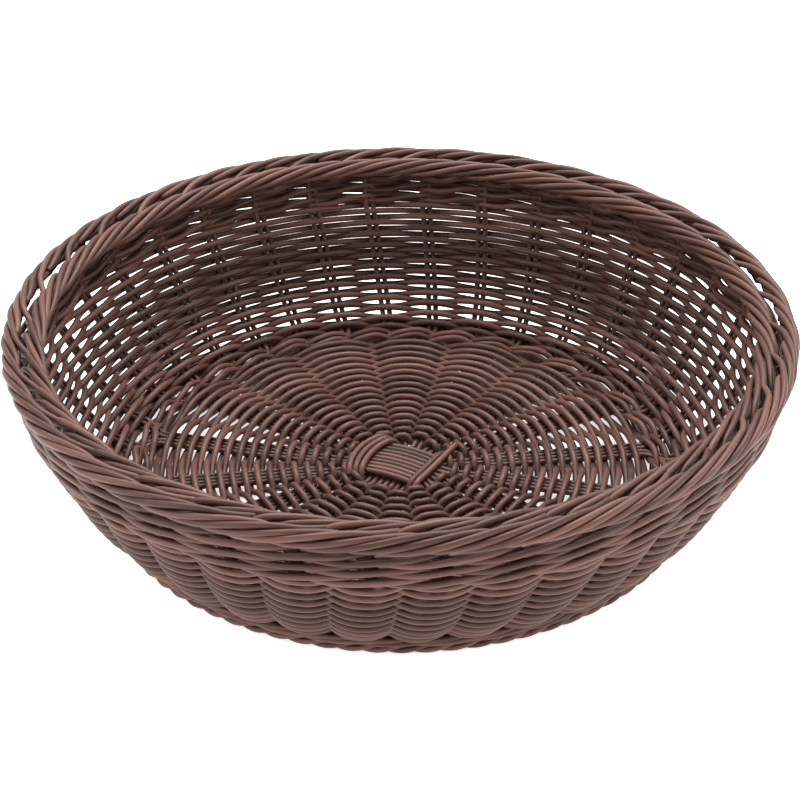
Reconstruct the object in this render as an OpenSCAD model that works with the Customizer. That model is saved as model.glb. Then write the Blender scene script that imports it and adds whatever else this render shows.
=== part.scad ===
// Round woven fruit basket with sloping sides, made of round plastic strand.
// The frame is the base centre at floor level, +Z up. The centre cross is turned about Z as in cross_turn.
// Weave that passes in and out of the stakes is drawn as two ribbed sheets, one on each side of them,
// with one rib for each row.

/* [Overall] */
// Outside diameter over the border
rim_d = 400; // [340:5:500]
// Height from the floor to the top of the border
height = 98; // [80:1:130]

/* [Base] */
// Diameter of the flat woven base, inside the edge wale
base_d = 262; // [220:2:300]
// Height of the underside of the base weave above the floor
base_clearance = 1.7; // [1.2:0.1:4]
// Radial distance between two rows of the base weave
base_row_pitch = 3.4; // [3.2:0.05:4.5]
// Radius where the base weave starts
weave_start_r = 34; // [32:1:40]
// Radius where the extra rods are pushed in, which ends the inner base weave
inserted_start_r = 50; // [46:1:60]
// Width of the edge wale between the base and the foot of the stakes
edge_wale_w = 11.5; // [9:0.5:16]
// Turn of the centre cross about Z
cross_turn = -27; // [-45:1:45]
// Turn of the first stake pair about Z
weave_turn = 2.5; // [-10:0.5:10]

/* [Strand] */
// Diameter of every rod and weaving strand
strand_d = 3; // [2.4:0.1:3.2]
// Centre distance of the two stakes of a pair
pair_pitch = 3.9; // [3.3:0.1:4.6]
// Centre distance of neighbouring rods in a base group
rod_pitch = 3.6; // [3.3:0.1:4]
// Number of four-rod groups in the base, each giving two stake pairs
groups = 18; // [14:2:20]

/* [Wall] */
// Distance between two rows of the wall weave, along the slope
row_pitch = 3.1; // [3:0.05:4]
// Distance between two rows of the wale band
wale_pitch = 5.7; // [5:0.1:7]
// Sideways lean of the stakes over the height of the wall
stake_lean = 3; // [0:0.1:4]
// Outward reach of the stakes from the bottom to the top of the wale band
wale_reach = 3; // [0:0.5:5]

/* [Border] */
// How far the outer ridge is pressed onto the top of the wale band
border_seat = 0.5; // [0.3:0.1:1.5]
// Radius of each of the two ridges of the border
ridge_r = 6.5; // [6:0.25:8]
// Radial distance between the centres of the two ridges
ridge_gap = 10; // [8:0.5:11.5]
// How much lower the inner ridge lies
ridge_step = 2; // [0:0.5:3]

/* [Foot] */
// Radial overhang of the foot past the foot of the stakes
foot_reach = 7.5; // [6:0.5:10]
// Diameter of the twisted rope that the basket stands on
rope_d = 6.5; // [6:0.5:8]

/* [Hidden] */

strand_r = strand_d / 2;
wale_rows = 3;                         // rows in the wale band under the border
round_fn = 48;
edge_curl = 0.35;                      // rise of the edge wale towards the wall, row by row
fit_gap = 0.05;                        // between strands that lie against each other
knuckle = 0.04;                        // how much a bent rod swells at its bends
rope_sink = 0.3;                       // how much the rope is flattened where it stands
core_t = strand_r;                     // thickness of each sheet of a woven band without its ribs
weave_half = strand_r + core_t;        // from the middle of a woven band to the root of its ribs
pairs = 2 * groups;
group_step = 360 / groups;
pair_step = 360 / pairs;

base_mid_z = base_clearance + weave_half + strand_r;
base_r = base_d / 2;
rods_across = groups / 2;              // rods in each direction of the centre cross
cross_half = rods_across * rod_pitch / 2;
over_z = base_mid_z + strand_r;
under_z = base_mid_z - strand_r;
leg_r = sqrt(2) * cross_half + strand_d; // where a centre rod has turned to its own radial line
fan_r = base_r - strand_r;             // where a group of four starts to split into two pairs

stake_foot_r = base_r + edge_wale_w;
border_h = 2 * ridge_r - border_seat;
wale_h = wale_rows * wale_pitch;
wale_slope = acos(wale_reach / wale_h);
wale_top_z = height - border_h;
wale_bottom_z = wale_top_z - wale_h * sin(wale_slope);
ridge_outer_r = rim_d / 2 - ridge_r;
ridge_inner_r = ridge_outer_r - ridge_gap;
wale_top_r = ridge_inner_r + ridge_gap * 0.7;
wale_bottom_r = wale_top_r - wale_reach;
wall_rise = wale_bottom_z - base_mid_z;
wall_run = wale_bottom_r - stake_foot_r;
wall_slope = atan(wall_rise / wall_run);
wall_len = norm([wall_rise, wall_run]);
wall_start = weave_half + 2 * strand_r;    // length along the stakes that the edge wale covers
wall_end = (weave_half + strand_r) * tan(wale_slope - wall_slope);
weave_len = wall_len - wall_start - wall_end;
wall_rows = floor(weave_len / row_pitch);
rows_lower = floor(wall_rows / 3);
rows_middle = floor((wall_rows - rows_lower) / 2);
rows_upper = wall_rows - rows_lower - rows_middle;
wall_pitch = weave_len / wall_rows;

foot_r = stake_foot_r + foot_reach - rope_d / 2;
foot_wale_z = rope_d + strand_r - rope_sink - fit_gap;
foot_stake_side = pair_pitch / 2 + strand_d + fit_gap;

// A straight rod between two points
module rod(a, b) {
  d = b - a;
  translate(a) rotate([0, acos(d.z / norm(d)), atan2(d.y, d.x)])
    cylinder(h = norm(d), r = strand_r, $fn = round_fn);
}

// A bent rod through a list of points, with a round knuckle at each bend
module bent_rod(points) {
  for (i = [0 : len(points) - 2]) rod(points[i], points[i + 1]);
  for (i = [1 : len(points) - 2]) translate(points[i]) sphere(r = strand_r + knuckle, $fn = round_fn);
}

// Point at a radius, an angle, a height and a sideways offset from that radial line
function polar(r, a, z, side = 0) = [r * cos(a) - side * sin(a), r * sin(a) + side * cos(a), z];

// Angle of the stake pair number i. Two pairs belong to each group.
function pair_angle(i) = weave_turn + i * pair_step;

// Section of a woven band: a sheet on each side of the stakes, with a round rib for each row.
// The rows are pressed against each other, so their ribs meet.
module band_section(rows, pitch) {
  for (side = [-1, 1]) intersection() {
    union() {
      translate([0, side * (strand_r + core_t / 2) - core_t / 2]) square([rows * pitch, core_t]);
      for (i = [0 : rows - 1])
        translate([(i + 0.5) * pitch, side * strand_d]) circle(r = pitch / 2 + fit_gap, $fn = round_fn);
    }
    translate([0, side * strand_d - strand_r]) square([rows * pitch, strand_d]);
  }
}

// A band of weave round the stakes of the sloping wall, from row first
module wall_band(first, rows) {
  start = wall_start + first * wall_pitch;
  rotate_extrude($fn = 2 * round_fn)
    translate([stake_foot_r + start * cos(wall_slope), base_mid_z + start * sin(wall_slope)])
      rotate(wall_slope) band_section(rows, wall_pitch);
}

// One row of the wale band, two strands high
module wale_row(i) {
  rotate_extrude($fn = 2 * round_fn)
    translate([wale_bottom_r, wale_bottom_z]) rotate(wale_slope) translate([i * wale_pitch, 0])
      band_section(2, wale_pitch / 2);
}

// The centre rods of one direction, across the centre
module centre_rods(turn, z) {
  reach = cross_half + strand_d;
  for (i = [0 : rods_across - 1]) {
    side = (i - (rods_across - 1) / 2) * rod_pitch;
    rod(polar(-reach, cross_turn + turn, z, side), polar(reach, cross_turn + turn, z, side));
  }
}

// Middle of the group number g
function group_angle(g) = weave_turn + (2 * g + 0.5) * pair_step;

// Rods of every group that lie at a place from its middle, on both sides of it
module spokes(start_r, place) {
  for (g = [0 : groups - 1], side = [-1, 1])
    rod(
      polar(start_r, group_angle(g), base_mid_z, side * place * rod_pitch),
      polar(fan_r, group_angle(g), base_mid_z, side * place * rod_pitch)
    );
}

module centre_rods_over() {
  color("#6b4f45") centre_rods(0, over_z);
}

module centre_rods_under() {
  color("#5f463d") centre_rods(90, under_z);
}

// Three turns of binding: over the upper rods on two sides, under the lower rods on the other two
module centre_binding() {
  color("#745a4f")
    for (turn = [0 : 2], side = [-1, 1]) {
      out = side * (cross_half - strand_r - turn * (strand_d + fit_gap));
      top_z = over_z + strand_d;
      low_z = under_z - strand_d;
      rod(polar(out, cross_turn, top_z, -cross_half), polar(out, cross_turn, top_z, cross_half));
      rod(polar(out, cross_turn + 90, low_z, -cross_half), polar(out, cross_turn + 90, low_z, cross_half));
    }
}

// The two inner rods of each group of four, which are the centre rods going on outwards
module centre_spokes() {
  color("#684e44") spokes(leg_r, 0.5);
}

// The two outer rods of each group of four, pushed in beside the centre rods
module inserted_spokes() {
  color("#644b41") spokes(inserted_start_r, 1.5);
}

// A flat ring of base weave between two radii
module base_ring(r_in, r_out) {
  rows = floor((r_out - r_in) / base_row_pitch);
  translate([0, 0, base_mid_z]) rotate_extrude($fn = 2 * round_fn)
    translate([r_in, 0]) band_section(rows, (r_out - r_in) / rows);
}

module base_weave_inner() {
  color("#6e5248") base_ring(weave_start_r, inserted_start_r);
}

module base_weave_outer() {
  color("#6a4e44") base_ring(inserted_start_r, base_r - strand_r);
}

// The wale that turns the base up into the wall: strands above and below the ends of the spokes
module base_edge_wale() {
  color("#63493f") rotate_extrude($fn = 2 * round_fn)
    for (row = [0 : 2]) {
      out = row * (strand_d + fit_gap);
      translate([base_r + strand_r + out, base_mid_z + strand_d + row * row * edge_curl])
        circle(r = strand_r, $fn = round_fn);
      translate([base_r + strand_d + out, base_mid_z - strand_d]) circle(r = strand_r, $fn = round_fn);
    }
}

// Short ends of rod beside the stakes, pushed into the top of the rope, that carry the foot
module foot_stakes() {
  color("#5a4239")
    for (i = [0 : pairs - 1], side = [-1, 1])
      rod(
        polar(foot_r - strand_r, pair_angle(i), rope_d - rope_sink, side * foot_stake_side),
        polar(stake_foot_r + strand_r, pair_angle(i), base_mid_z + strand_d, side * foot_stake_side)
      );
}

// One row of wale round the foot, above the rope
module foot_wale() {
  color("#5e453c") rotate_extrude($fn = 2 * round_fn)
    for (side = [0, 1])
      translate([foot_r + strand_d - side * (strand_d + fit_gap), foot_wale_z])
        circle(r = strand_r, $fn = round_fn);
}

// The twisted rope that closes the foot, flat where it stands on the floor
module foot_rope() {
  color("#573f37") rotate_extrude($fn = 2 * round_fn) intersection() {
    translate([foot_r, rope_d / 2 - rope_sink]) circle(d = rope_d, $fn = round_fn);
    translate([foot_r - rope_d, 0]) square(2 * rope_d);
  }
}

// One stake of every pair: spread out of its group of four, up the leaning wall and up the wale band.
// side is -1 or 1. The stake on the far side of its pair goes on from an outer rod of its group.
module stakes(side) {
  for (i = [0 : pairs - 1]) {
    group_side = i % 2 == 0 ? -1 : 1;
    place = side == group_side ? 1.5 : 0.5;
    top = pair_angle(i) + stake_lean;
    bent_rod([
      polar(fan_r + fit_gap, group_angle(floor(i / 2)), base_mid_z, group_side * place * rod_pitch),
      polar(stake_foot_r, pair_angle(i), base_mid_z, side * pair_pitch / 2),
      polar(wale_bottom_r, top, wale_bottom_z, side * pair_pitch / 2),
      polar(wale_top_r, top, wale_top_z - strand_r, side * pair_pitch / 2)
    ]);
  }
}

module side_stakes_left() {
  color("#604740") stakes(1);
}

module side_stakes_right() {
  color("#604740") stakes(-1);
}

module wall_weave_lower() {
  color("#5b443b") wall_band(0, rows_lower);
}

module wall_weave_middle() {
  color("#614940") wall_band(rows_lower, rows_middle);
}

module wall_weave_upper() {
  color("#664d43") wall_band(rows_lower + rows_middle, rows_upper);
}

module top_wale_lower() {
  color("#5d453c") wale_row(0);
}

module top_wale_middle() {
  color("#614940") wale_row(1);
}

module top_wale_upper() {
  color("#5d453c") wale_row(2);
}

// The inner ridge of the plaited border, cut back where the outer one lies
module border_inner_ridge() {
  color("#6f544a") rotate_extrude($fn = 2 * round_fn) difference() {
    translate([ridge_inner_r, height - ridge_r - ridge_step]) circle(r = ridge_r, $fn = round_fn);
    translate([ridge_outer_r, height - ridge_r]) circle(r = ridge_r + fit_gap, $fn = round_fn);
    translate([0, 0]) square([rim_d, wale_top_z]);
  }
}

module border_outer_ridge() {
  color("#755a50") rotate_extrude($fn = 2 * round_fn) difference() {
    translate([ridge_outer_r, height - ridge_r]) circle(r = ridge_r, $fn = round_fn);
    translate([0, 0]) square([rim_d, wale_top_z]);
  }
}

centre_rods_over();
centre_rods_under();
centre_binding();
centre_spokes();
inserted_spokes();
base_weave_inner();
base_weave_outer();
base_edge_wale();
foot_stakes();
foot_wale();
foot_rope();
side_stakes_left();
side_stakes_right();
wall_weave_lower();
wall_weave_middle();
wall_weave_upper();
top_wale_lower();
top_wale_middle();
top_wale_upper();
border_inner_ridge();
border_outer_ridge();
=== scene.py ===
"""The looks of a round fruit basket woven from brown plastic strand, built strand by strand."""

import math

import bpy
import numpy as np
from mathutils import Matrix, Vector


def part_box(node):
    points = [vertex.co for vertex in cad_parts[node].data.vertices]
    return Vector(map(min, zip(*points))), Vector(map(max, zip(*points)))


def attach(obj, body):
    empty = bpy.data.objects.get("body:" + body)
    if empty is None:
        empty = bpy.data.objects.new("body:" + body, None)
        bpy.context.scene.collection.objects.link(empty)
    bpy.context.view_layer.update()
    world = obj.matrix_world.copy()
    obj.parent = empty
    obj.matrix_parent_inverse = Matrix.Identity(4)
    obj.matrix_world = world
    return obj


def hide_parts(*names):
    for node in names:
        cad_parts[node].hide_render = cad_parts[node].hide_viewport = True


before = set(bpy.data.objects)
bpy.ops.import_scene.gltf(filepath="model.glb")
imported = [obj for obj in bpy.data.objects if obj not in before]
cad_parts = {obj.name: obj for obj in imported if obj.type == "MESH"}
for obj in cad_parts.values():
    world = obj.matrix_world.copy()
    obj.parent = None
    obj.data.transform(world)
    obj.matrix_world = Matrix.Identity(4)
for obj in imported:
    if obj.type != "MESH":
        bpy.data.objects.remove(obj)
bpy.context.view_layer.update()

# The basket's lengths are in millimetres and its angles in degrees. UNIT turns the lengths into metres.
UNIT = 0.001
SEED = 7

# ---------------------------------------------------------------- sizes read from the CAD part


def node_low(name):
    return np.array(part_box(name)[0]) / UNIT


def node_high(name):
    return np.array(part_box(name)[1]) / UNIT


RIM_R = node_high("border_outer_ridge")[0]
RIM_TOP = node_high("border_outer_ridge")[2]
INNER_TOP = node_high("border_inner_ridge")[2]
STRAND_D = node_high("inserted_spokes")[2] - node_low("inserted_spokes")[2]
BASE_Z = (node_high("inserted_spokes")[2] + node_low("inserted_spokes")[2]) / 2
BASE_R = node_high("base_weave_outer")[0]
WALE_TOP_Z = node_low("border_outer_ridge")[2]
ROPE_TOP = node_high("foot_rope")[2]

# ---------------------------------------------------------------- sizes of the weave

# Radii of the strands, which are pressed into each other a little where the weave is tight
STRAND_R = STRAND_D / 2
WEAVER_R = 1.71
BASE_WEAVER_R = 1.72
WALE_R = 1.74
BORDER_R = 1.66
BINDING_R = STRAND_R * 1.08

# Stakes, spokes and the crossing in the middle of the base
PAIRS = 36
GROUPS = 18
PAIR_STEP = 360 / PAIRS
GROUP_STEP = 360 / GROUPS
WEAVE_TURN = 2.5
CROSS_TURN = -27
CROSS_HALF = 17.4
CROSS_RODS = GROUPS // 2
STAKE_LEAN = 3
PAIR_PITCH = 3.9
ROD_PITCH = 3.12
CENTRE_PITCH = 3.45
CENTRE_SQUEEZE = 0.97
INSERTED_START_R = 46
INSERTED_START_SPREAD = 3
INSERTED_SETTLED_R = 60.0

# The line of the wall
STAKE_FOOT_R = 142.5
WALE_BOTTOM_R = 187.5
WALE_TOP_R = 190.5
WALE_BOTTOM_Z = 68.2
BELLY = 5.8
BELLY_LOW = 1.0
WALL_POINTS = 25
BEND_LENGTH = 9
PROFILE_STEP = 0.5
PROFILE_SPARE = 20

# The base weave: how far its strands rise and fall, near the middle and how much more further out
BASE_START_R = 24.5
BASE_ROWS = 32
INNER_ROWS = 8
BASE_CREST = 3.3
BASE_CREST_GAIN = 1.3
BASE_TROUGH = 3.1
BASE_TROUGH_GAIN = 0.3
BASE_SHARP = 0.8
BASE_SHARP_GAIN = 1.6
BASE_WOBBLE = 0.12
BASE_LOOSE = 0.2
BASE_LOOSE_GAIN = 0.5
BASE_TUCK = 0.2
BASE_TUCK_GAIN = 0.45

# The wall weave, with its rows a little closer low down, and closest two thirds of the way up
WALL_ROWS = 24
WALL_BAND_ENDS = (8, 16, WALL_ROWS)
WALL_FIRST = 0.8
WALL_LAST = 1.0
WALL_GAP_LOW = 0.95
WALL_GAP_HIGH = 1.04
PRESS = 0.10
PRESS_AT = 0.62
PRESS_ROWS = 1.6
WALL_SHARP = 0.9
WALL_OUTSIDE = 3.8
WALL_INSIDE = 3.15
WALL_TILT = 0.15
WALL_WOBBLE_OUT = 0.1
WALL_WOBBLE_ALONG = 0.07

# The wale rows at the edge of the base, under the border and round the foot
WALE_PITCH = 6.2
WALE_FIRST = 1.9
WALE_REACH = 3.3
WALE_SLANT = 1.6
WALE_INWARD = 0.3
WALE_SHARP = 1.7
WALE_BIAS = 0.5
DRIFT_HOLD = 1.8
FLOAT_BULGE = 0.9
FLOAT_SAG = 0.5
WALE_WOBBLE = 0.1
EDGE_DISTANCES = (8.8, 3.0)
EDGE_SLANT = 1.5
FOOT_R = 150.8
FOOT_WALE_OUT = 1.2
FOOT_WALE_UP = 1.4
FOOT_WALE_REACH = 1.7
FOOT_WALE_SLANT = 1.1
ROPE_LAY_TURNS = 26
ROPE_STRAND_R = STRAND_R * 1.02

# The border: two ridges with a groove between them
RIDGE_R = 5.3
INNER_RIDGE_R = 5.6
GROOVE = 10.4
RIDGE_OUTER_R = RIM_R - RIDGE_R
RIDGE_OUTER_Z = RIM_TOP - RIDGE_R - 0.3
RIDGE_INNER_R = RIDGE_OUTER_R - GROOVE
RIDGE_INNER_Z = INNER_TOP - INNER_RIDGE_R
CORE_OFFSET = 1.6
CORE_R = 1.5
CORE_LAY_TURNS = 40

# How finely strands are drawn, and how unevenly they lie
SIDES = 8
CORE_SIDES = 6
STEP = 1.6
LINE_POINTS = 24
END_TURNS = (80, 50, 22)
END_BLUNTNESS = 0.8
STREAK_SPAN = 5000
WOBBLE_SLOWEST = 3
WOBBLE_FASTEST = 40
WOBBLE_LEAST = 0.3

rng = np.random.default_rng(SEED)

# ---------------------------------------------------------------- curves


class Profile:
    """The line that the stakes follow from the middle of the base to the border, by its length s."""

    def __init__(self, corners):
        corners = np.array(corners, float)
        lengths = np.linalg.norm(np.diff(corners, axis=0), axis=1)
        marks = np.concatenate([[0], np.cumsum(lengths)])
        self.corner_s = marks
        s = np.arange(-PROFILE_SPARE, marks[-1] + PROFILE_SPARE, PROFILE_STEP)
        r = self._extended(s, marks, corners[:, 0])
        z = self._extended(s, marks, corners[:, 1])
        window = np.hanning(int(BEND_LENGTH / PROFILE_STEP) * 2 + 3)
        window /= window.sum()
        half = len(window) // 2
        self.s = s[half:-half]
        self.r = np.convolve(r, window, "valid")
        self.z = np.convolve(z, window, "valid")
        self.slope = np.arctan2(np.gradient(self.z), np.gradient(self.r))

    @staticmethod
    def _extended(s, marks, values):
        inside = np.interp(s, marks, values)
        first = (values[1] - values[0]) / (marks[1] - marks[0])
        last = (values[-1] - values[-2]) / (marks[-1] - marks[-2])
        inside = np.where(s < marks[0], values[0] + (s - marks[0]) * first, inside)
        return np.where(s > marks[-1], values[-1] + (s - marks[-1]) * last, inside)

    def point(self, s, n, theta):
        """Points at length s, n outside the stake line, at the angle theta."""
        r = np.interp(s, self.s, self.r)
        z = np.interp(s, self.s, self.z)
        slope = np.interp(s, self.s, self.slope)
        r = r + n * np.sin(slope)
        z = z - n * np.cos(slope)
        a = np.radians(theta)
        return np.stack([r * np.cos(a), r * np.sin(a), z], axis=-1)

    def radius(self, s):
        return np.interp(s, self.s, self.r)


def wall_corners(count):
    """Points of the wall between its foot and the wale, which swells out a little, more so low down."""
    foot = np.array([STAKE_FOOT_R, BASE_Z])
    top = np.array([WALE_BOTTOM_R, WALE_BOTTOM_Z])
    run = (top - foot) / np.linalg.norm(top - foot)
    out = np.array([run[1], -run[0]])
    points = []
    for u in np.linspace(0, 1, count):
        swell = BELLY * 4 * u * (1 - u) * (1 + BELLY_LOW * (0.5 - u))
        points.append(foot + (top - foot) * u + out * swell)
    return points


profile = Profile([(0, BASE_Z), *wall_corners(WALL_POINTS), (WALE_TOP_R, WALE_TOP_Z)])
FOOT_S = profile.corner_s[1]
WALE_S = profile.corner_s[-2]
TOP_S = profile.corner_s[-1]


def lean(s):
    """How far the stakes have turned round the basket at length s, as they lean sideways."""
    return STAKE_LEAN * np.clip((s - FOOT_S) / (WALE_S - FOOT_S), 0, 1)


def polar(r, theta, z, side=0.0):
    """Points at a radius and an angle, moved sideways from that radial line."""
    a = np.radians(theta)
    r, side, z = np.broadcast_arrays(r, side, z)
    return np.stack([r * np.cos(a) - side * np.sin(a), r * np.sin(a) + side * np.cos(a), z], axis=-1)


def bezier(p0, p1, p2, p3, count):
    """A smooth line between p0 and p3 that leaves towards p1 and arrives from p2."""
    t = np.linspace(0, 1, count)[:, None]
    return (1 - t) ** 3 * p0 + 3 * (1 - t) ** 2 * t * p1 + 3 * (1 - t) * t**2 * p2 + t**3 * p3


def even(points, step=STEP):
    """The same line with its points evenly spaced."""
    lengths = np.linalg.norm(np.diff(points, axis=0), axis=1)
    marks = np.concatenate([[0], np.cumsum(lengths)])
    count = max(4, int(round(marks[-1] / step)) + 1)
    at = np.linspace(0, marks[-1], count)
    return np.stack([np.interp(at, marks, points[:, k]) for k in range(3)], axis=-1)


def near_start(t, share):
    """1 at the start of a strand, falling to 0 where a share of its length has gone."""
    return np.clip((share - t) / share, 0, 1)


def near_end(t, share):
    """0 until only a share of a strand's length is left, rising to 1 at its end."""
    return np.clip((t - (1 - share)) / share, 0, 1)


def soften(points, passes):
    """The same line with its corners rounded off."""
    points = points.copy()
    for _ in range(passes):
        points[1:-1] = 0.25 * points[:-2] + 0.5 * points[1:-1] + 0.25 * points[2:]
    return points


def round_angles(r):
    """Angles of points spaced by STEP round a circle."""
    count = int(2 * math.pi * r / STEP)
    return np.arange(count) * 360 / count


def ring_wobble(theta, amount, waves=5):
    """A gentle unevenness round a ring, different for every strand."""
    total = np.zeros_like(theta)
    for k in rng.integers(WOBBLE_SLOWEST, WOBBLE_FASTEST, waves):
        wave = np.sin(np.radians(theta) * k + rng.uniform(0, 2 * math.pi))
        total += wave * rng.uniform(WOBBLE_LEAST, 1)
    return total * amount / math.sqrt(waves)


# ---------------------------------------------------------------- strands as meshes


class Piece:
    """All the strands of one named piece, gathered into one mesh."""

    def __init__(self):
        self.verts = []
        self.quads = []
        self.caps = []
        self.strand = []
        self.tone = []
        self.count = 0

    def add(self, path, radius, closed=False, up=(0.0, 0.0, 1.0), sides=SIDES):
        """Adds a round strand along a path. The ends of an open strand are rounded."""
        path = np.asarray(path, float)
        size = np.broadcast_to(np.asarray(radius, float), (len(path),)).copy()
        if closed:
            tangent = np.roll(path, -1, axis=0) - np.roll(path, 1, axis=0)
        else:
            path, size = self._rounded_ends(path, size)
            tangent = np.gradient(path, axis=0)
        tangent /= np.linalg.norm(tangent, axis=1)[:, None]
        ups = np.broadcast_to(np.asarray(up, float), path.shape)
        u = ups - (ups * tangent).sum(1)[:, None] * tangent
        u /= np.linalg.norm(u, axis=1)[:, None] + 1e-9
        v = np.cross(tangent, u)
        a = np.arange(sides) * 2 * math.pi / sides
        ring = np.cos(a)[None, :, None] * u[:, None, :] + np.sin(a)[None, :, None] * v[:, None, :]
        verts = path[:, None, :] + ring * size[:, None, None]
        rows = len(path)
        along = np.concatenate([[0], np.cumsum(np.linalg.norm(np.diff(path, axis=0), axis=1))])
        along = along + rng.uniform(0, STREAK_SPAN)
        spin = rng.uniform(0, 2 * math.pi)
        strand = np.zeros((rows, sides, 3))
        strand[..., 0] = np.cos(a + spin)[None, :]
        strand[..., 1] = np.sin(a + spin)[None, :]
        strand[..., 2] = along[:, None]
        last = rows if closed else rows - 1
        i = np.arange(last)[:, None]
        k = np.arange(sides)[None, :]
        j = (i + 1) % rows
        k2 = (k + 1) % sides
        quads = np.stack([i * sides + k, i * sides + k2, j * sides + k2, j * sides + k], axis=-1)
        self.verts.append(verts.reshape(-1, 3))
        self.strand.append(strand.reshape(-1, 3))
        self.tone.append(np.full(rows * sides, rng.uniform(0, 1)))
        self.quads.append(quads.reshape(-1, 4) + self.count)
        if not closed:
            self.caps.append(np.arange(sides)[::-1] + self.count)
            self.caps.append(np.arange(sides) + self.count + (rows - 1) * sides)
        self.count += rows * sides

    @staticmethod
    def _rounded_ends(path, size):
        turns = np.radians(END_TURNS)
        start = path[0] - path[1]
        start /= np.linalg.norm(start)
        end = path[-1] - path[-2]
        end /= np.linalg.norm(end)
        head = path[0] + start * size[0] * np.sin(turns)[:, None] * END_BLUNTNESS
        tail = path[-1] + end * size[-1] * np.sin(turns)[::-1, None] * END_BLUNTNESS
        path = np.concatenate([head, path, tail])
        size = np.concatenate([size[0] * np.cos(turns), size, size[-1] * np.cos(turns)[::-1]])
        return path, size

    def build(self, name, node, slot, material):
        verts = np.concatenate(self.verts) * UNIT
        quads = np.concatenate(self.quads)
        loops = [quads.ravel()] + self.caps
        starts = np.arange(len(quads)) * 4
        totals = np.full(len(quads), 4)
        if self.caps:
            cap_sizes = np.array([len(c) for c in self.caps])
            cap_starts = len(quads) * 4 + np.concatenate([[0], np.cumsum(cap_sizes)[:-1]])
            starts = np.concatenate([starts, cap_starts])
            totals = np.concatenate([totals, cap_sizes])
        loops = np.concatenate(loops)
        mesh = bpy.data.meshes.new(name)
        mesh.vertices.add(len(verts))
        mesh.vertices.foreach_set("co", verts.astype(np.float32).ravel())
        mesh.loops.add(len(loops))
        mesh.loops.foreach_set("vertex_index", loops.astype(np.int32))
        mesh.polygons.add(len(starts))
        mesh.polygons.foreach_set("loop_start", starts.astype(np.int32))
        mesh.polygons.foreach_set("loop_total", totals.astype(np.int32))
        mesh.polygons.foreach_set("use_smooth", np.ones(len(starts), bool))
        attribute = mesh.attributes.new("strand", "FLOAT_VECTOR", "POINT")
        attribute.data.foreach_set("vector", np.concatenate(self.strand).astype(np.float32).ravel())
        attribute = mesh.attributes.new("tone", "FLOAT", "POINT")
        attribute.data.foreach_set("value", np.concatenate(self.tone).astype(np.float32))
        mesh.update(calc_edges=True)
        mesh.validate()
        mesh.materials.append(material)
        piece = bpy.data.objects.new(name, mesh)
        bpy.context.scene.collection.objects.link(piece)
        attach(piece, "root")
        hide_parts(node)
        return piece


# ---------------------------------------------------------------- the material


def noise_along(nodes, links, strand, stretch, scale, detail):
    """Noise drawn out along a strand."""
    mapping = nodes.new("ShaderNodeMapping")
    mapping.inputs["Scale"].default_value = stretch
    links.new(strand.outputs["Vector"], mapping.inputs["Vector"])
    noise = nodes.new("ShaderNodeTexNoise")
    noise.inputs["Scale"].default_value = scale
    noise.inputs["Detail"].default_value = detail
    links.new(mapping.outputs["Vector"], noise.inputs["Vector"])
    return noise


def scaled_sum(nodes, links, value, factor, base):
    """A value times a factor, added to a base."""
    node = nodes.new("ShaderNodeMath")
    node.operation = "MULTIPLY_ADD"
    links.new(value, node.inputs[0])
    node.inputs[1].default_value = factor
    links.new(base, node.inputs[2])
    return node.outputs["Value"]


def ranged(nodes, links, value, source, target):
    """A value moved from one range to another."""
    node = nodes.new("ShaderNodeMapRange")
    node.inputs["From Min"].default_value = source[0]
    node.inputs["From Max"].default_value = source[1]
    node.inputs["To Min"].default_value = target[0]
    node.inputs["To Max"].default_value = target[1]
    links.new(value, node.inputs["Value"])
    return node.outputs["Result"]


def colour_ramp(nodes, links, level, dark, middle, light):
    node = nodes.new("ShaderNodeValToRGB")
    ramp = node.color_ramp
    ramp.elements[0].position = 0.0
    ramp.elements[0].color = (*dark, 1)
    ramp.elements[1].position = 1.0
    ramp.elements[1].color = (*light, 1)
    centre = ramp.elements.new(0.5)
    centre.color = (*middle, 1)
    links.new(level, node.inputs["Fac"])
    return node.outputs["Color"]


def darker_in_hollows(nodes, links, colour):
    """The colour made darker where strands are packed together, out of the light."""
    hollow = nodes.new("ShaderNodeAmbientOcclusion")
    hollow.samples = 6
    hollow.inputs["Distance"].default_value = 0.006
    shade = ranged(nodes, links, hollow.outputs["AO"], (0.15, 0.75), (0.45, 1.0))
    grey = nodes.new("ShaderNodeCombineColor")
    for channel in ("Red", "Green", "Blue"):
        links.new(shade, grey.inputs[channel])
    deepen = nodes.new("ShaderNodeMix")
    deepen.data_type = "RGBA"
    deepen.blend_type = "MULTIPLY"
    deepen.inputs[0].default_value = 1.0
    links.new(colour, deepen.inputs[6])
    links.new(grey.outputs["Color"], deepen.inputs[7])
    return deepen.outputs[2]


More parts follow.
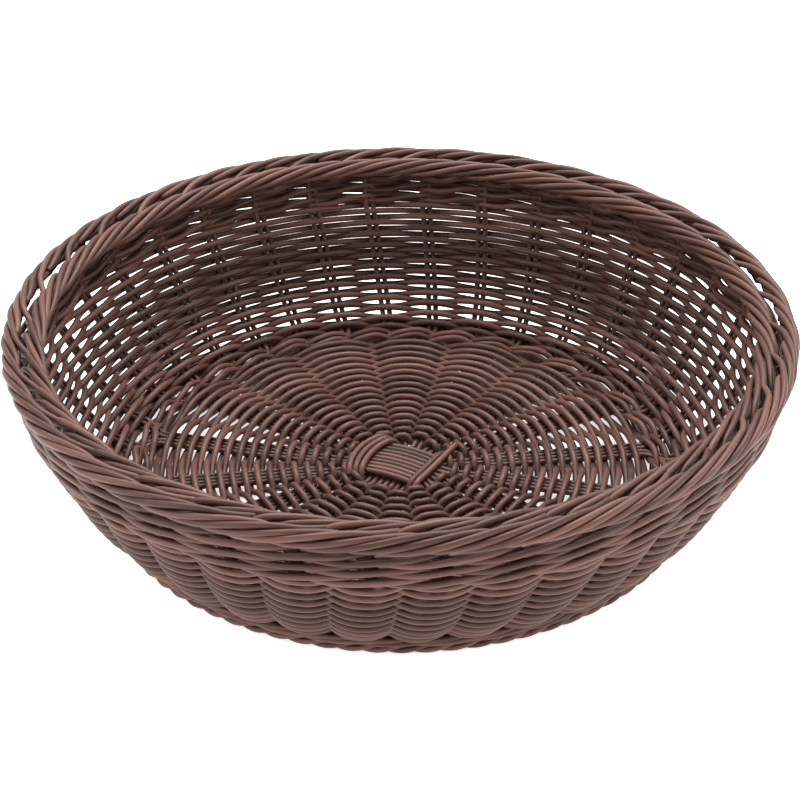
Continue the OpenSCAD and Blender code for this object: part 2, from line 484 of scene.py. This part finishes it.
def plastic(name, dark, middle, light):
    """Satin plastic strand with fine streaks along it and a slightly different tone for each strand."""
    material = bpy.data.materials.new(name)
    material.use_nodes = True
    nodes = material.node_tree.nodes
    links = material.node_tree.links
    nodes.clear()
    output = nodes.new("ShaderNodeOutputMaterial")
    shader = nodes.new("ShaderNodeBsdfPrincipled")
    links.new(shader.outputs["BSDF"], output.inputs["Surface"])

    strand = nodes.new("ShaderNodeAttribute")
    strand.attribute_name = "strand"
    tone = nodes.new("ShaderNodeAttribute")
    tone.attribute_name = "tone"
    streaks = noise_along(nodes, links, strand, (2.6, 2.6, 0.035), 1.6, 4)
    streaks.inputs["Roughness"].default_value = 0.65
    patches = noise_along(nodes, links, strand, (0.4, 0.4, 0.03), 1.0, 2)

    streaked = scaled_sum(nodes, links, streaks.outputs["Fac"], 0.9, tone.outputs["Fac"])
    mottled = scaled_sum(nodes, links, patches.outputs["Fac"], 0.7, streaked)
    level = ranged(nodes, links, mottled, (0.45, 1.9), (0.0, 1.0))
    colour = colour_ramp(nodes, links, level, dark, middle, light)
    links.new(darker_in_hollows(nodes, links, colour), shader.inputs["Base Color"])

    rough = ranged(nodes, links, streaks.outputs["Fac"], (0.0, 1.0), (0.34, 0.56))
    links.new(rough, shader.inputs["Roughness"])
    shader.inputs["Specular IOR Level"].default_value = 0.30
    shader.inputs["Sheen Weight"].default_value = 0.04
    shader.inputs["Sheen Tint"].default_value = (1.0, 0.85, 0.8, 1.0)

    bump = nodes.new("ShaderNodeBump")
    bump.inputs["Strength"].default_value = 0.35
    bump.inputs["Distance"].default_value = 0.00012
    links.new(streaks.outputs["Fac"], bump.inputs["Height"])
    links.new(bump.outputs["Normal"], shader.inputs["Normal"])
    return material


ROD_LOOK = plastic("rod_plastic", (0.040, 0.015, 0.010), (0.076, 0.031, 0.021), (0.136, 0.060, 0.042))
WEAVER_LOOK = plastic("weaver_plastic", (0.045, 0.017, 0.011), (0.087, 0.036, 0.025), (0.155, 0.070, 0.050))
BORDER_LOOK = plastic("border_plastic", (0.049, 0.019, 0.012), (0.095, 0.040, 0.029), (0.168, 0.078, 0.057))

# ---------------------------------------------------------------- the base


def base_row(row):
    """Radius of a row of the base weave."""
    return BASE_START_R + (row + 0.5) * (BASE_R - BASE_START_R) / BASE_ROWS


def add_base_row(piece, row):
    """One round of plain weave over the groups of rods. Rows near the middle turn more sharply."""
    r = base_row(row)
    theta = round_angles(r)
    sign = 1 if row % 2 == 0 else -1
    out = (r - BASE_START_R) / (BASE_R - BASE_START_R)
    sharp = BASE_SHARP_GAIN * (1 - out) ** 2 + BASE_SHARP
    u = (theta - WEAVE_TURN - 0.5 * PAIR_STEP) / GROUP_STEP
    wave = np.tanh(sharp * np.cos(math.pi * u)) / math.tanh(sharp) * sign
    crest = BASE_CREST + BASE_CREST_GAIN * out
    trough = BASE_TROUGH + BASE_TROUGH_GAIN * out
    z = np.where(wave > 0, wave * crest, wave * trough)
    z = z + ring_wobble(theta, BASE_WOBBLE)
    loose = BASE_LOOSE + BASE_LOOSE_GAIN * max(0.0, 1 - row / INNER_ROWS)
    radius = r + ring_wobble(theta, loose) - (BASE_TUCK + BASE_TUCK_GAIN * out) * wave
    piece.add(polar(radius, theta, BASE_Z + z), BASE_WEAVER_R, closed=True)


def base_weave():
    """The rounds of the base, in two pieces: those near the middle and the rest."""
    inner, outer = Piece(), Piece()
    for row in range(BASE_ROWS):
        add_base_row(inner if row < INNER_ROWS else outer, row)
    inner.build("base_weave_inner_strands", "base_weave_inner", "weavers", WEAVER_LOOK)
    outer.build("base_weave_outer_strands", "base_weave_outer", "weavers", WEAVER_LOOK)


def spoke_lines():
    """The 36 inner spokes in order round the base: the angle of the group and the side of it."""
    lines = []
    for g in range(GROUPS):
        for side in (-1, 1):
            lines.append((WEAVE_TURN + (2 * g + 0.5) * PAIR_STEP, side))
    return lines


def nearest_spokes(turn):
    """The nine inner spokes that a side of the cross fans out into, in order round the base."""
    found = []
    for angle, side in spoke_lines():
        off = (angle + side * 0.8 - turn + 180) % 360 - 180
        found.append((off, angle, side))
    found.sort(key=lambda item: abs(item[0]))
    return sorted(found[:CROSS_RODS])


def rod_side(i):
    """Sideways place of a rod in the crossing."""
    return (i - (CROSS_RODS - 1) / 2) * CENTRE_PITCH


def crossing_point(turn, x, side, z, bow):
    """A point on a centre rod, x from the middle. The rods bow sideways a little between the bindings."""
    lift = bow * (1 - (x / CROSS_HALF) ** 2)
    a = math.radians(turn)
    y = side + lift
    return np.array([x * math.cos(a) - y * math.sin(a), x * math.sin(a) + y * math.cos(a), z])


def centre_rods(turn, z, bow, crest):
    """The nine rods of one direction, side by side and a little higher in the middle."""
    piece = Piece()
    overhang = 1.5
    for i in range(CROSS_RODS):
        side = rod_side(i) * CENTRE_SQUEEZE
        xs = np.linspace(-CROSS_HALF - overhang, CROSS_HALF + overhang, LINE_POINTS)
        height = z + crest * (1 - (xs / CROSS_HALF) ** 2)
        line = np.array([crossing_point(turn, x, side, h, bow) for x, h in zip(xs, height)])
        piece.add(even(line), STRAND_R)
    return piece


def centre_spokes():
    """The ends of the centre rods, which fan out from the crossing into their groups."""
    piece = Piece()
    bend_end_r = 34.0
    bend_pull_r = 26.0
    levels = (BASE_Z + STRAND_R, BASE_Z - STRAND_R)
    for quarter in range(4):
        turn = CROSS_TURN + 90 * quarter
        level = levels[quarter % 2]
        for i, (_, angle, side) in enumerate(nearest_spokes(turn)):
            start = polar(CROSS_HALF + 1.0, turn, level, rod_side(i) * CENTRE_SQUEEZE)
            pull = polar(CROSS_HALF + 4.0, turn, level, rod_side(i) * 1.05)
            arrive = polar(bend_pull_r, angle, BASE_Z, side * 0.5 * ROD_PITCH)
            settled = polar(bend_end_r, angle, BASE_Z, side * 0.5 * ROD_PITCH)
            end = polar(BASE_R, angle, BASE_Z, side * 0.5 * ROD_PITCH)
            bend = bezier(start, pull, arrive, settled, LINE_POINTS)
            piece.add(even(np.concatenate([bend, end[None]])), STRAND_R)
    piece.build("centre_spoke_rods", "centre_spokes", "rods", ROD_LOOK)


def inserted_spokes():
    """The rods pushed in on both sides of each pair of spokes. They start close in and spread a little."""
    piece = Piece()
    for g in range(GROUPS):
        angle = WEAVE_TURN + (2 * g + 0.5) * PAIR_STEP
        for side in (-1, 1):
            start_r = INSERTED_START_R + rng.uniform(-INSERTED_START_SPREAD, INSERTED_START_SPREAD)
            line = np.array(
                [
                    polar(start_r, angle, BASE_Z, side * 1.35 * ROD_PITCH),
                    polar(INSERTED_SETTLED_R, angle, BASE_Z, side * 1.45 * ROD_PITCH),
                    polar(BASE_R, angle, BASE_Z, side * 1.5 * ROD_PITCH),
                ]
            )
            piece.add(even(line), STRAND_R)
    piece.build("inserted_spoke_rods", "inserted_spokes", "rods", ROD_LOOK)


def binding_dip(t, depth):
    """How far a turn of the binding drops as t goes from 0 to its end at 1."""
    return depth * near_end(t, 0.18) ** 2


def left_binding(piece, high, side):
    """Three turns that bow outwards. Their last end hooks round the corner of the cross."""
    for k in range(3):
        out = -(CROSS_HALF - 3.0) - (k - 0.4) * 2.9
        bow = -3.4 - 0.9 * k
        t = np.linspace(-1, 1, 30)
        x = out + bow * (1 - t**2) + 2.2 * np.clip(t, 0, 1) ** 2
        drop = binding_dip(np.abs(t), 5.5)
        drop = np.where((t < 0) & (k == 2), 0.5 * drop, drop)
        line = crossing_line(x, t * (side + 0.9 * k), high + 0.3 - drop)
        piece.add(soften(even(line), 4), BINDING_R)


def right_binding(piece, high, side):
    """Two straight turns. The outer one ends past the corner, standing up a little."""
    for k in range(2):
        out = CROSS_HALF - 2.2 + k * 3.4
        t = np.linspace(-1, 1, 30)
        x = out + 1.2 * t * (1 - k) + 1.4 * k * t
        past_corner = 5.5 * k
        y = np.where(t > 0, t * (side + past_corner), t * side)
        drop = binding_dip(-t, 5.0)
        if k == 0:
            drop = drop + binding_dip(t, 5.0)
        stand = 0.8 * k * np.clip(t, 0, 1)
        line = crossing_line(x, y, high + 0.3 - drop + stand)
        piece.add(soften(even(line), 4), BINDING_R)


def under_binding(piece, low):
    """The straight turns under the crossing, three at each side of it."""
    for end in (-1, 1):
        for k in range(3):
            out = end * (CROSS_HALF - STRAND_R - k * (STRAND_D + 0.05))
            t = np.linspace(-1, 1, LINE_POINTS)
            across = np.full(LINE_POINTS, out)
            height = np.full(LINE_POINTS, low)
            line = polar(across, CROSS_TURN + 90, height, t * (CROSS_HALF + 1.0))
            piece.add(even(line), STRAND_R)


def binding():
    piece = Piece()
    high = BASE_Z + STRAND_R + STRAND_D
    low = BASE_Z - STRAND_R - STRAND_D
    side = CROSS_HALF + 1.6
    left_binding(piece, high, side)
    right_binding(piece, high, side)
    under_binding(piece, low)
    piece.build("centre_binding_strand", "centre_binding", "weavers", BORDER_LOOK)


def crossing_line(x, y, z):
    """A line in the frame of the upper centre rods: x along them, y across them."""
    a = math.radians(CROSS_TURN)
    x, y, z = np.broadcast_arrays(x, y, z)
    return np.stack([x * math.cos(a) - y * math.sin(a), x * math.sin(a) + y * math.cos(a), z], axis=-1)


# ---------------------------------------------------------------- wale, wall and foot


def wale_wave(u):
    """Over two stakes outside and under one inside, as u runs through one round of three stakes."""
    raw = np.cos(2 * math.pi * (u - 1 / 3)) + WALE_BIAS
    wave = np.tanh(WALE_SHARP * raw)
    outside = wave / math.tanh(WALE_SHARP)
    inside = wave / math.tanh(WALE_SHARP * WALE_BIAS)
    return np.where(wave > 0, outside, inside)


def wale_drift(u):
    """The slant of a wale strand: up along its outside float and down along its inside float."""
    u = np.mod(u, 1)
    rising = -np.cos(math.pi * u / (2 / 3))
    falling = np.cos(math.pi * (u - 2 / 3) * 3)
    slant = np.where(u < 2 / 3, rising, falling)
    return np.tanh(DRIFT_HOLD * slant) / math.tanh(DRIFT_HOLD)


def add_wale_row(piece, s, slant, shift=0.0, inward=0.0):
    """Three strands round the stakes at length s: each goes outside two pairs and inside the third."""
    theta = round_angles(float(profile.radius(s)))
    for strand in range(3):
        u = ((theta - WEAVE_TURN - lean(s) - shift) / PAIR_STEP - strand) / 3
        wave = wale_wave(u)
        bulge = FLOAT_BULGE * np.clip(np.cos(2 * math.pi * (u - 1 / 3)), 0, 1)
        n = WALE_REACH * wave + np.where(wave > 0, bulge, inward) + ring_wobble(theta, WALE_WOBBLE)
        along = s + slant * wale_drift(u) - FLOAT_SAG * bulge + ring_wobble(theta, WALE_WOBBLE)
        piece.add(profile.point(along, n, theta), WALE_R, closed=True)


def base_edge():
    """Two rows of wale where the base turns up into the wall."""
    piece = Piece()
    for i, distance in enumerate(EDGE_DISTANCES):
        add_wale_row(piece, FOOT_S - distance, EDGE_SLANT, shift=i * PAIR_STEP)
    piece.build("base_edge_wale_strands", "base_edge_wale", "weavers", WEAVER_LOOK)


def wall_row_s():
    """Lengths at which the rows of the wall weave lie. They are pressed closer two thirds of the way up."""
    first = FOOT_S + WALL_FIRST
    last = WALE_S - WALL_LAST
    gaps = np.linspace(WALL_GAP_LOW, WALL_GAP_HIGH, WALL_ROWS)
    from_press = np.arange(WALL_ROWS) - PRESS_AT * WALL_ROWS
    gaps = gaps - PRESS * np.exp(-((from_press / PRESS_ROWS) ** 2))
    marks = np.cumsum(gaps) - gaps[0] / 2
    return first + (last - first) * marks / gaps.sum()


def add_wall_row(piece, s, row):
    """One round of plain weave over the pairs of stakes, its strand outside every second pair."""
    theta = round_angles(float(profile.radius(s)))
    sign = 1 if row % 2 == 0 else -1
    u = (theta - WEAVE_TURN - lean(s)) / PAIR_STEP
    wave = np.tanh(WALL_SHARP * np.cos(math.pi * u)) / math.tanh(WALL_SHARP) * sign
    n = np.where(wave > 0, WALL_OUTSIDE, WALL_INSIDE) * wave + ring_wobble(theta, WALL_WOBBLE_OUT)
    along = s - WALL_TILT * wave + ring_wobble(theta, WALL_WOBBLE_ALONG)
    piece.add(profile.point(along, n, theta), WEAVER_R, closed=True)


def wall_weave():
    """The rounds of the wall, in three pieces from the bottom up."""
    names = ("lower", "middle", "upper")
    rows = wall_row_s()
    first = 0
    for name, last in zip(names, WALL_BAND_ENDS):
        piece = Piece()
        for row in range(first, last):
            add_wall_row(piece, rows[row], row)
        piece.build("wall_weave_" + name + "_strands", "wall_weave_" + name, "weavers", WEAVER_LOOK)
        first = last


def top_wale():
    """The three rows of wale under the border, each a piece."""
    names = ("lower", "middle", "upper")
    for i, name in enumerate(names):
        piece = Piece()
        s = WALE_S + WALE_FIRST + i * WALE_PITCH
        add_wale_row(piece, s, WALE_SLANT, shift=i * PAIR_STEP, inward=WALE_INWARD)
        piece.build("top_wale_" + name + "_strands", "top_wale_" + name, "weavers", WEAVER_LOOK)


def stakes():
    """The rods of the wall. Each group of four spokes splits at the edge of the base into two pairs."""
    left, right = Piece(), Piece()
    settle = 4.5
    for i in range(PAIRS):
        bottom = WEAVE_TURN + i * PAIR_STEP
        group = WEAVE_TURN + (2 * (i // 2) + 0.5) * PAIR_STEP
        group_side = -1 if i % 2 == 0 else 1
        for side, piece in ((1, left), (-1, right)):
            place = 1.5 if side == group_side else 0.5
            s = np.arange(FOOT_S, TOP_S + 1.0, 1.0)
            radius = profile.radius(s)
            offset = np.degrees(side * PAIR_PITCH / 2 / radius)
            line = profile.point(s, 0, bottom + lean(s) + offset)
            start = polar(BASE_R + 0.1, group, BASE_Z, group_side * place * ROD_PITCH)
            split = bezier(
                start,
                start + polar(1.0, group, 0.0) * settle,
                line[0] - (line[1] - line[0]) * 3,
                line[0],
                10,
            )
            path = soften(even(np.concatenate([split[:-1], line])), 6)
            piece.add(path, STRAND_R)
    left.build("side_stake_rods_left", "side_stakes_left", "rods", ROD_LOOK)
    right.build("side_stake_rods_right", "side_stakes_right", "rods", ROD_LOOK)


def foot_stakes():
    """Short rods from the foot up to the edge of the base, one on each side of every pair of stakes."""
    piece = Piece()
    for i in range(PAIRS):
        for side in (-1, 1):
            angle = WEAVE_TURN + i * PAIR_STEP
            offset = side * (PAIR_PITCH / 2 + STRAND_D)
            line = np.array(
                [
                    polar(FOOT_R - 1.0, angle, ROPE_TOP - 1.0, offset),
                    polar(STAKE_FOOT_R + 1.5, angle, BASE_Z - 0.5, offset),
                ]
            )
            piece.add(even(line), STRAND_R)
    piece.build("foot_stake_rods", "foot_stakes", "rods", ROD_LOOK)


def foot_wale():
    """One row of three-strand wale round the foot."""
    piece = Piece()
    theta = round_angles(FOOT_R)
    for strand in range(3):
        u = ((theta - WEAVE_TURN) / PAIR_STEP - strand) / 3
        radius = FOOT_R + FOOT_WALE_OUT + FOOT_WALE_REACH * wale_wave(u)
        height = ROPE_TOP + FOOT_WALE_UP + FOOT_WALE_SLANT * wale_drift(u) + ring_wobble(theta, WALE_WOBBLE)
        piece.add(polar(radius, theta, height), STRAND_R, closed=True)
    piece.build("foot_wale_strands", "foot_wale", "weavers", WEAVER_LOOK)


def foot_rope():
    """The twisted rope of three strands that the basket stands on."""
    piece = Piece()
    theta = round_angles(FOOT_R)
    swing = 2 * STRAND_R / math.sqrt(3)
    for strand in range(3):
        turn = np.radians(theta * ROPE_LAY_TURNS + 120 * strand)
        radius = FOOT_R + swing * np.cos(turn)
        height = STRAND_R + swing + swing * np.sin(turn)
        piece.add(polar(radius, theta, height), ROPE_STRAND_R, closed=True)
    piece.build("foot_rope_strands", "foot_rope", "weavers", WEAVER_LOOK)


# ---------------------------------------------------------------- the border


def ridge_point(centre_r, centre_z, around, reach, theta):
    """Points at an angle round the middle line of a ridge. An angle of 0 faces outwards and 90 up."""
    a = np.radians(around)
    return polar(centre_r + reach * np.cos(a), theta, centre_z + reach * np.sin(a))


# The strands of each ridge: where they start, how many pairs of stakes they pass and how far they wrap round.
# Every second strand, the late one, differs from the others by the values named LATE.
OUTER_START = -14
OUTER_LATE_START = -1.3
OUTER_PASSES = 2.2
OUTER_LATE_PASSES = 0.3
OUTER_FROM = -95
OUTER_WRAP = 245
OUTER_LATE_WRAP = 15
OUTER_CROSSING = 5.0
INNER_START = 3
INNER_LATE_START = -1.6
INNER_PASSES = 2.1
INNER_LATE_PASSES = 0.2
INNER_FROM = 40
INNER_LATE_FROM = -22
INNER_END = 240
INNER_DIVE = 3.5
START_SPREAD = 0.3
OUTER_LENGTH_SPREAD = 0.5
INNER_LENGTH_SPREAD = 0.4
REACH_LEAST = -0.15
REACH_MOST = 0.2


def border_angle(k):
    """Angle from which the k-th of the 72 strands of a ridge is measured."""
    return WEAVE_TURN + STAKE_LEAN + k * PAIR_STEP / 2


def outer_ridge():
    """Stake ends that come out below the border and climb over it. Every second one crosses the groove."""
    piece = Piece()
    t = np.linspace(0, 1, 90)
    for k in range(2 * PAIRS):
        late = k % 2
        start = border_angle(k) + OUTER_START + OUTER_LATE_START * late
        start = start + rng.uniform(-START_SPREAD, START_SPREAD)
        length = (OUTER_PASSES + OUTER_LATE_PASSES * late) * PAIR_STEP
        length = length + rng.uniform(-OUTER_LENGTH_SPREAD, OUTER_LENGTH_SPREAD)
        around = OUTER_FROM + (OUTER_WRAP + OUTER_LATE_WRAP * late) * t
        reach = RIDGE_R - BORDER_R - 0.9 * near_start(t, 0.14)
        reach = reach - 1.5 * (1 - late) * near_end(t, 0.14) ** 2
        reach = reach + (0.55 * late - 0.1) * np.sin(math.pi * t) + rng.uniform(REACH_LEAST, REACH_MOST)
        across = OUTER_CROSSING * late * near_end(t, 0.16) ** 1.5
        line = ridge_point(RIDGE_OUTER_R - across, RIDGE_OUTER_Z, around, reach, start + length * t)
        piece.add(even(line), BORDER_R)
    add_core(piece, RIDGE_OUTER_R, RIDGE_OUTER_Z)
    piece.build("border_outer_ridge_strands", "border_outer_ridge", "border", BORDER_LOOK)


def inner_ridge():
    """Strands that come out of the groove and go over the inner ridge, down to the wale."""
    piece = Piece()
    t = np.linspace(0, 1, 80)
    for k in range(2 * PAIRS):
        late = k % 2
        start = border_angle(k) + INNER_START + INNER_LATE_START * late
        start = start + rng.uniform(-START_SPREAD, START_SPREAD)
        length = (INNER_PASSES + INNER_LATE_PASSES * late) * PAIR_STEP
        length = length + rng.uniform(-INNER_LENGTH_SPREAD, INNER_LENGTH_SPREAD)
        first = INNER_FROM + INNER_LATE_FROM * late
        around = first + (INNER_END - first) * t
        emerging = near_start(t, 0.14) ** 1.5
        reach = INNER_RIDGE_R - BORDER_R + 1.6 * emerging
        reach = reach + 0.9 * (1 - late) * np.sin(math.pi * t) + rng.uniform(REACH_LEAST, REACH_MOST)
        reach = reach - 1.2 * near_end(t, 0.3) ** 2
        line = ridge_point(RIDGE_INNER_R, RIDGE_INNER_Z, around, reach, start + length * t)
        line[:, 2] -= INNER_DIVE * emerging
        piece.add(even(line), BORDER_R)
    add_core(piece, RIDGE_INNER_R, RIDGE_INNER_Z)
    piece.build("border_inner_ridge_strands", "border_inner_ridge", "border", BORDER_LOOK)


def add_core(piece, centre_r, centre_z):
    """Strands that run round inside a ridge, under the ones that show."""
    theta = np.arange(720) * 0.5
    for strand in range(3):
        turn = np.radians(theta * CORE_LAY_TURNS + 120 * strand)
        radius = centre_r + CORE_OFFSET * np.cos(turn)
        height = centre_z + CORE_OFFSET * np.sin(turn)
        piece.add(polar(radius, theta, height), CORE_R, closed=True, sides=CORE_SIDES)


# ---------------------------------------------------------------- the object


def basket():
    over = centre_rods(CROSS_TURN, BASE_Z + STRAND_R, 1.4, 0.9)
    over.build("centre_rods_upper", "centre_rods_over", "rods", BORDER_LOOK)
    under = centre_rods(CROSS_TURN + 90, BASE_Z - STRAND_R, 0.0, 0.0)
    under.build("centre_rods_lower", "centre_rods_under", "rods", ROD_LOOK)
    binding()
    centre_spokes()
    inserted_spokes()
    base_weave()
    base_edge()
    foot_stakes()
    foot_wale()
    foot_rope()
    stakes()
    wall_weave()
    top_wale()
    outer_ridge()
    inner_ridge()


# ---------------------------------------------------------------- floor, light and camera

# These sizes and places are in metres, except for the lens and its sensor
FLOOR_REACH = 6.0
FLOOR_Z = -0.0005
CAMERA_AIM = Vector((0, 0, 0.040))
CAMERA_DISTANCE = 1.25
CAMERA_RISE = 31.65
LENS = 108.8
SENSOR = 36
CAMERA_SHIFT = 0.0155


def floor_look():
    material = bpy.data.materials.new("studio_floor")
    material.use_nodes = True
    shader = material.node_tree.nodes["Principled BSDF"]
    shader.inputs["Base Color"].default_value = (0.95, 0.95, 0.95, 1)
    shader.inputs["Roughness"].default_value = 0.9
    shader.inputs["Specular IOR Level"].default_value = 0.1
    shader.inputs["Emission Color"].default_value = (1, 1, 1, 1)
    shader.inputs["Emission Strength"].default_value = 0.7
    return material


def floor():
    mesh = bpy.data.meshes.new("studio_floor")
    corners = [(-1, -1), (1, -1), (1, 1), (-1, 1)]
    mesh.from_pydata([(x * FLOOR_REACH, y * FLOOR_REACH, FLOOR_Z) for x, y in corners], [], [(0, 1, 2, 3)])
    mesh.materials.append(floor_look())
    piece = bpy.data.objects.new("studio_floor", mesh)
    bpy.context.scene.collection.objects.link(piece)


def area_light(name, place, aim, size, power, colour):
    data = bpy.data.lights.new(name, "AREA")
    data.shape = "RECTANGLE"
    data.size = size[0]
    data.size_y = size[1]
    data.energy = power
    data.color = colour
    light = bpy.data.objects.new(name, data)
    light.location = place
    light.rotation_euler = (Vector(aim) - Vector(place)).to_track_quat("-Z", "Y").to_euler()
    bpy.context.scene.collection.objects.link(light)


def lights():
    area_light("soft_top", (0.1, 0.9, 1.7), (0, 0, 0), (1.6, 1.0), 52, (1.0, 0.97, 0.95))
    area_light("soft_left", (-1.7, -0.6, 1.1), (0, 0, 0.05), (1.2, 1.2), 14, (1.0, 0.98, 0.97))
    area_light("soft_right", (1.7, -0.5, 0.9), (0, 0, 0.05), (1.2, 1.2), 12, (1.0, 0.98, 0.97))
    world = bpy.data.worlds.new("studio_air")
    world.use_nodes = True
    background = world.node_tree.nodes["Background"]
    background.inputs["Color"].default_value = (1.0, 1.0, 1.0, 1)
    background.inputs["Strength"].default_value = 0.68
    bpy.context.scene.world = world


def camera():
    data = bpy.data.cameras.new("camera")
    data.lens = LENS
    data.sensor_width = SENSOR
    data.shift_y = CAMERA_SHIFT
    data.clip_start = 0.05
    data.clip_end = 50
    rise = math.radians(CAMERA_RISE)
    back = Vector((0, -math.cos(rise), math.sin(rise)))
    piece = bpy.data.objects.new("camera", data)
    piece.location = CAMERA_AIM + back * CAMERA_DISTANCE
    piece.rotation_euler = (-back).to_track_quat("-Z", "Y").to_euler()
    bpy.context.scene.collection.objects.link(piece)
    bpy.context.scene.camera = piece


basket()
floor()
lights()
camera()
bpy.context.scene.view_settings.view_transform = "Standard"
